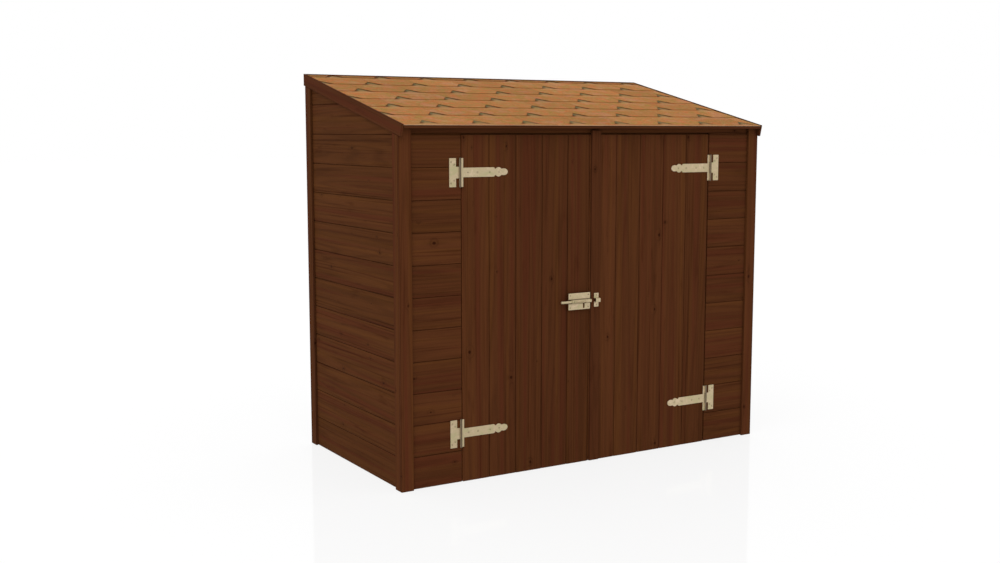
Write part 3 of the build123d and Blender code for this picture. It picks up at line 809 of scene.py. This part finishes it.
def layShingles():
    look = roofTabs
    low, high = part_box("roof_shingles")
    halfWidth = abs(low.x)
    roofLength = (high.y - eavePoint[1]) / math.cos(slope)
    pointSets, tabSets, edgeSets, faces, count = [], [], [], [], 0
    courses = math.ceil((roofLength - look["starter"]) / look["course"])
    for course in range(-1, courses):
        butt = max(look["starter"] + course * look["course"], 0)
        exposed = look["starter"] if course < 0 else look["course"]
        end = min(butt + exposed + look["hidden"], roofLength)
        phase = look["firstNotch"] + (0.5 * look["pitch"] if course % 2 else 0)
        first = math.floor((-halfWidth - phase) / look["pitch"])
        last = math.ceil((halfWidth - phase) / look["pitch"])
        for n in range(first, last):
            notches = (phase + n * look["pitch"], phase + (n + 1) * look["pitch"])
            left = max(notches[0] + look["slit"] / 2, -halfWidth)
            right = min(notches[1] - look["slit"] / 2, halfWidth)
            if right - left < 2 * look["slit"]:
                continue
            sheets = tabPoints(course, butt, end, notches, left, right, course == courses - 1)
            made, rim = tabFaces(*sheets[0].shape[:2], count)
            top, bottom, tab = (sheet.reshape(-1, 3) for sheet in sheets)
            pointSets += [top, bottom, top[rim], bottom[rim]]
            tabSets += [tab, tab, tab[rim], tab[rim]]
            edgeSets += [np.zeros(len(top)), np.ones(len(top) + 2 * len(rim))]
            faces += made
            count += 2 * len(top) + 2 * len(rim)
    attributes = {"tab": np.concatenate(tabSets), "edge": np.concatenate(edgeSets)}
    addPiece("roof_tabs", np.concatenate(pointSets), faces, "shelter",
             shingleFinish("mineral shingles", look), attributes, ["roof_shingles"], smooth=False)


layShingles()
print("shingles laid")


metals = {name: hingeZinc for name in nodes if "hinge" in name}
metals.update({"bolt_plate": boltZinc, "bolt_rod": zinc, "bolt_keeper": zinc})
for name, finish in metals.items():
    nodes[name].data.materials.clear()
    nodes[name].data.materials.append(finish)

screwLook = {
    "radius": 4.6 * mm,
    "firstRing": 0.22,       # share of the radius
    "dome": 1.3 * mm,
    "stand": 0.15 * mm,      # the dome's foot stands this far out of the plate
    "sunk": 0.1 * mm,        # and its rim ends this far inside it
    "slot": 0.55 * mm,       # half width of a cross recess
    "slotReach": 0.62,       # half its length, as a share of the radius
    "slotDepth": 0.9 * mm,
    "rings": 7,
    "spokes": 24,
    "weld": 0.01 * mm,
    "crease": 50,
}


# Screw heads: on a grid of rings and spokes the height is a dome, dome (1 - (r / radius)^2), less the cross
# recess
def screwHeads(name, body, places, radius=screwLook["radius"]):
    look = screwLook
    r = np.concatenate([[0.0], np.linspace(look["firstRing"], 1, look["rings"])])[:, None] * radius
    turn = np.linspace(0, 2 * math.pi, look["spokes"], endpoint=False)
    a, b = r * np.cos(turn), r * np.sin(turn)
    rows, columns = a.shape
    pointSets, markSets, faces, count = [], [], [], 0
    for place in places:
        twist = draw.uniform(0, math.pi / 2)
        c = abs(a * math.cos(twist) + b * math.sin(twist))
        d = abs(b * math.cos(twist) - a * math.sin(twist))
        recess = (np.minimum(c, d) < look["slot"]) & (np.maximum(c, d) < radius * look["slotReach"])
        height = look["dome"] * (1 - (r / radius) ** 2) + look["stand"] - look["slotDepth"] * recess
        height[-1] = -look["sunk"]
        # the recess and the two outer rings are marked for painted shade
        mark = np.where(recess, 1.0, 0.0)
        mark[-2:] = 1.0
        local = np.array(place) + np.stack([-a, -height, b], -1)
        grid = np.arange(rows * columns).reshape(rows, columns) + count
        after = np.roll(grid, -1, 1)
        quads = np.stack([grid[:-1], after[:-1], after[1:], grid[1:]], -1).reshape(-1, 4)[:, ::-1]
        pointSets.append(local.reshape(-1, 3))
        markSets.append(mark.ravel())
        faces += quads.tolist() + [grid[-1].tolist()]
        count += rows * columns
    mesh = addPiece(name, np.concatenate(pointSets), faces, body, zinc,
                    {"edge": np.concatenate(markSets)})
    tidyMesh(mesh, weld=look["weld"], crease=look["crease"])


# Places in millimetres from the middle of the pin: towards the middle of the store, and up
hingeScrews = {
    "leaf": ((-43, 46), (-28, 34), (-43, -46), (-28, -34)),
    "strap": ((40, 0), (88, 0), (150, 0), (198, 0)),
}
platesOut = 2.5 * mm         # hinge plates stand this far out of the boards
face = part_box("front_left_panel")[0].y - platesOut
for side, sign in (("left", -1), ("right", 1)):
    for level in ("bottom", "top"):
        low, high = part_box(side + "_" + level + "_hinge_leaf")
        middle = (low.z + high.z) / 2
        for plate, body in (("leaf", "shelter"), ("strap", side + "_door")):
            places = [(sign * (hingePinShade["centre"] - x * mm), face, middle + z * mm)
                      for x, z in hingeScrews[plate]]
            screwHeads(side + "_" + level + "_" + plate + "_screws", body, places)
print("hinges fitted")

boltScrews = {"inset": 10 * mm, "keeperInset": 9 * mm, "plate": 2 * mm, "radius": 4.2 * mm}
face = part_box("bolt_packer")[0].y - boltScrews["plate"]
low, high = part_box("bolt_plate")
corners = [(x, face, z) for x in (low.x + boltScrews["inset"], high.x - boltScrews["inset"])
           for z in (low.z + boltScrews["inset"], high.z - boltScrews["inset"])]
screwHeads("bolt_plate_screws", "left_door", corners, boltScrews["radius"])
low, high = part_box("bolt_keeper")
ends = [((low.x + high.x) / 2, face, z)
        for z in (low.z + boltScrews["keeperInset"], high.z - boltScrews["keeperInset"])]
screwHeads("keeper_screws", "right_door", ends, boltScrews["radius"])
print("bolt fitted")


# Floor, light and camera
stageLook = {
    "reach": 60.0,
    "drop": 0.5 * mm,          # of the floor under the store
    "floor": (250, 250, 250),
    "glow": 0.8,               # share of the plain white that the camera sees
    "inside": (-0.95, 0.95, -0.45, 0.50),   # the floor in the store, across and from front to back
    "threshold": 0.15,         # metres over which it starts behind the doors
    "rim": 0.01,               # and at the walls
}


# 1 where a ray from the camera, or through gloss or glass, looks at the white background
def seenRays(tree):
    rays = tree.nodes.new("ShaderNodeLightPath")
    seen = Wire(tree, rays.outputs["Is Camera Ray"])
    seen = seen.math("MAXIMUM", seen, Wire(tree, rays.outputs["Is Glossy Ray"]))
    return seen.math("MAXIMUM", seen, Wire(tree, rays.outputs["Is Transmission Ray"]))


# The floor glows white for the camera, but not inside the store
def makeFloor():
    make = Finish("studio floor", Roughness=0.06, Specular_IOR_Level=1.0)
    make.shader.inputs["Base Color"].default_value = linear(*stageLook["floor"])
    place = make.place()
    x, y = make.part(place, 0), make.part(place, 1)
    left, right, front, back = stageLook["inside"]
    inside = make.between(y, front, front + stageLook["threshold"])
    for distance in (x - left, right - x, back - y):
        inside = inside * make.between(distance, 0.0, stageLook["rim"])
    glow = make.tree.nodes.new("ShaderNodeEmission")
    glow.inputs["Color"].default_value = (1, 1, 1, 1)
    blend = make.tree.nodes.new("ShaderNodeMixShader")
    share = seenRays(make.tree) * stageLook["glow"] * (1 - inside)
    make.tree.links.new(share.socket, blend.inputs[0])
    make.tree.links.new(make.shader.outputs[0], blend.inputs[1])
    make.tree.links.new(glow.outputs[0], blend.inputs[2])
    make.tree.links.new(blend.outputs[0], make.tree.nodes["Material Output"].inputs["Surface"])
    reach = stageLook["reach"]
    mesh = bpy.data.meshes.new("floor")
    mesh.from_pydata([(-reach, -reach, 0), (reach, -reach, 0), (reach, reach, 0), (-reach, reach, 0)], [],
                     [(0, 1, 2, 3)])
    mesh.materials.append(make.material)
    floor = addObject("floor", mesh)
    floor.location = (0, 0, -stageLook["drop"])


makeFloor()

lightLook = {"world": 0.86, "key": 1.1, "keyTurn": (38, 0, -48), "keySoftness": 60}
world = bpy.data.worlds.new("studio")
scene.world = world
world.use_nodes = True
background = world.node_tree.nodes["Background"]
strength = lightLook["world"] + seenRays(world.node_tree) * (1 - lightLook["world"])
background.inputs["Color"].default_value = (1, 1, 1, 1)
world.node_tree.links.new(strength.socket, background.inputs["Strength"])

key = bpy.data.lights.new("key", "SUN")
key.energy = lightLook["key"]
key.angle = math.radians(lightLook["keySoftness"])
addObject("key", key).rotation_euler = [math.radians(a) for a in lightLook["keyTurn"]]

cameraLook = {
    "place": (-3.2821, -5.0808, 1.5457),
    "turn": 31.187,
    "tilt": -7.007,
    "focal": 1219.9,           # in pixels of a picture this wide
    "imageWidth": 1000,
}
camera = bpy.data.cameras.new("camera")
camera.sensor_width = 36
camera.lens = cameraLook["focal"] * camera.sensor_width / cameraLook["imageWidth"]
cameraObject = addObject("camera", camera)
cameraObject.location = cameraLook["place"]
cameraObject.rotation_euler = (math.radians(90 + cameraLook["tilt"]), 0, -math.radians(cameraLook["turn"]))
scene.camera = cameraObject
scene.view_settings.view_transform = "Standard"
print("stage set")
